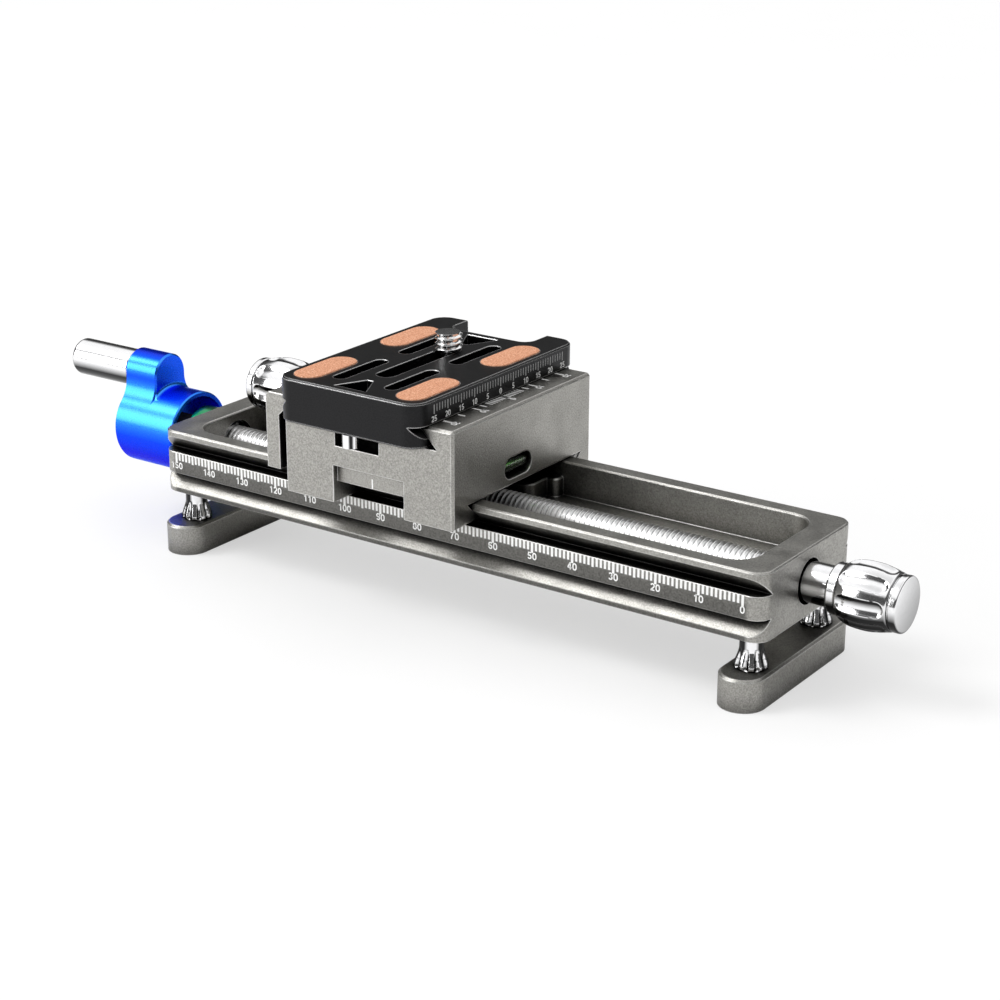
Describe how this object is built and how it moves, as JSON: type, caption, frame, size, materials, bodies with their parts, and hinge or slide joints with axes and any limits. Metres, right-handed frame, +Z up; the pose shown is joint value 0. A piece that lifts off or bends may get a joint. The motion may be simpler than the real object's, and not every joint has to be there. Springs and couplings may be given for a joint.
{
  "type": "macro focusing rail",
  "caption": "Geared macro focusing rail: a crank turns a lead screw that drives a clamp carriage along a scaled dovetail rail on two feet.",
  "frame": {"origin": "middle of the rail's underside, the face that a tripod head bears on", "axes": "+X along the rail from the crank to the lock knob, +Y to the back, away from the scaled side, +Z up"},
  "size_m": [0.2245, 0.06, 0.057],
  "materials": {
    "rail_grey": "bead-blasted and anodised, titanium grey",
    "chrome": "polished",
    "steel": "ground",
    "anodised_green": "anodised, glossy green",
    "anodised_blue": "anodised, glossy blue",
    "brass": "turned",
    "spacer_dark": "moulded, matt",
    "gib_plastic": "low-friction, matt",
    "vial_clear": "clear",
    "vial_green": "tinted liquid",
    "anodised_black": "anodised, satin black",
    "pad_cork": "speckled cork and rubber"
  },
  "bodies": {
    "rail": {"rail_body": "rail_grey", "foot_left": "rail_grey", "foot_right": "rail_grey", "foot_posts": "chrome", "foot_screws": "steel", "bearing_outer_race": "steel", "bearing_balls": "steel", "bearing_retainer": "anodised_green", "end_bush": "brass", "lock_collar": "chrome"},
    "leadscrew": {"leadscrew": "chrome", "bearing_inner_race": "steel", "journal_spacer": "spacer_dark", "crank_hub": "anodised_blue", "crank_screw": "steel", "crank_set_screw": "steel", "grip_bolt": "steel"},
    "grip": {"crank_grip": "chrome"},
    "lock_pad": {"lock_pad": "brass"},
    "lock_knob": {"lock_knob": "chrome", "lock_screw": "steel"},
    "carriage": {"carriage_body": "rail_grey", "gib_strip": "gib_plastic", "gib_screws": "steel", "drive_nut": "brass", "nut_bracket": "rail_grey", "nut_screws": "steel", "vial_tube": "vial_clear", "vial_liquid": "vial_green", "jaw_springs": "steel"},
    "jaw": {"clamp_jaw": "rail_grey", "guide_pins": "steel", "clamp_collar": "chrome"},
    "clamp_knob": {"clamp_knob": "chrome", "clamp_screw": "chrome"},
    "plate": {"plate_body": "anodised_black", "plate_pads": "pad_cork", "stop_pins": "steel"},
    "camera_slider": {"camera_screw_washer": "steel"},
    "camera_screw": {"camera_screw": "chrome", "camera_screw_head": "chrome"}
  },
  "joints": [
    {"name": "leadscrew_turn", "type": "hinge", "parent": "rail", "child": "leadscrew", "pos_m": [0, 0, 0.0074], "axis": [1, 0, 0], "range_deg": [-19010, 4898]},
    {"name": "grip_spin", "type": "hinge", "parent": "leadscrew", "child": "grip", "pos_m": [-0.114, 0, 0.0204], "axis": [1, 0, 0], "continuous": true},
    {"name": "lock_slide", "type": "slide", "parent": "rail", "child": "lock_pad", "axis": [1, 0, 0], "range_m": [0, 0.0005]},
    {"name": "lock_knob_turn", "type": "hinge", "parent": "lock_pad", "child": "lock_knob", "pos_m": [0.09, 0, 0.0074], "axis": [1, 0, 0], "range_deg": [0, 180.1]},
    {"name": "carriage_slide", "type": "slide", "parent": "rail", "child": "carriage", "axis": [1, 0, 0], "range_m": [-0.017, 0.066]},
    {"name": "jaw_slide", "type": "slide", "parent": "carriage", "child": "jaw", "axis": [-1, 0, 0], "range_m": [0, 0.0032]},
    {"name": "clamp_knob_turn", "type": "hinge", "parent": "jaw", "child": "clamp_knob", "pos_m": [-0.057, 0, 0.02375], "axis": [-1, 0, 0], "range_deg": [0, 1440.5]},
    {"name": "plate_slide", "type": "slide", "parent": "carriage", "child": "plate", "axis": [0, 1, 0], "range_m": [-0.0185, 0.0225]},
    {"name": "camera_screw_slide", "type": "slide", "parent": "plate", "child": "camera_slider", "axis": [0, 1, 0], "range_m": [-0.0222, 0.0007]},
    {"name": "camera_screw_turn", "type": "hinge", "parent": "camera_slider", "child": "camera_screw", "pos_m": [-0.01578, 0.0072, 0.04], "axis": [0, 0, 1], "continuous": true}
  ],
  "couplings": [
    {"joint": "leadscrew_turn", "follows": "carriage_slide", "rad_per_m": -5026.5},
    {"joint": "lock_knob_turn", "follows": "lock_slide", "rad_per_m": 6283.2},
    {"joint": "clamp_knob_turn", "follows": "jaw_slide", "rad_per_m": 7854}
  ]
}
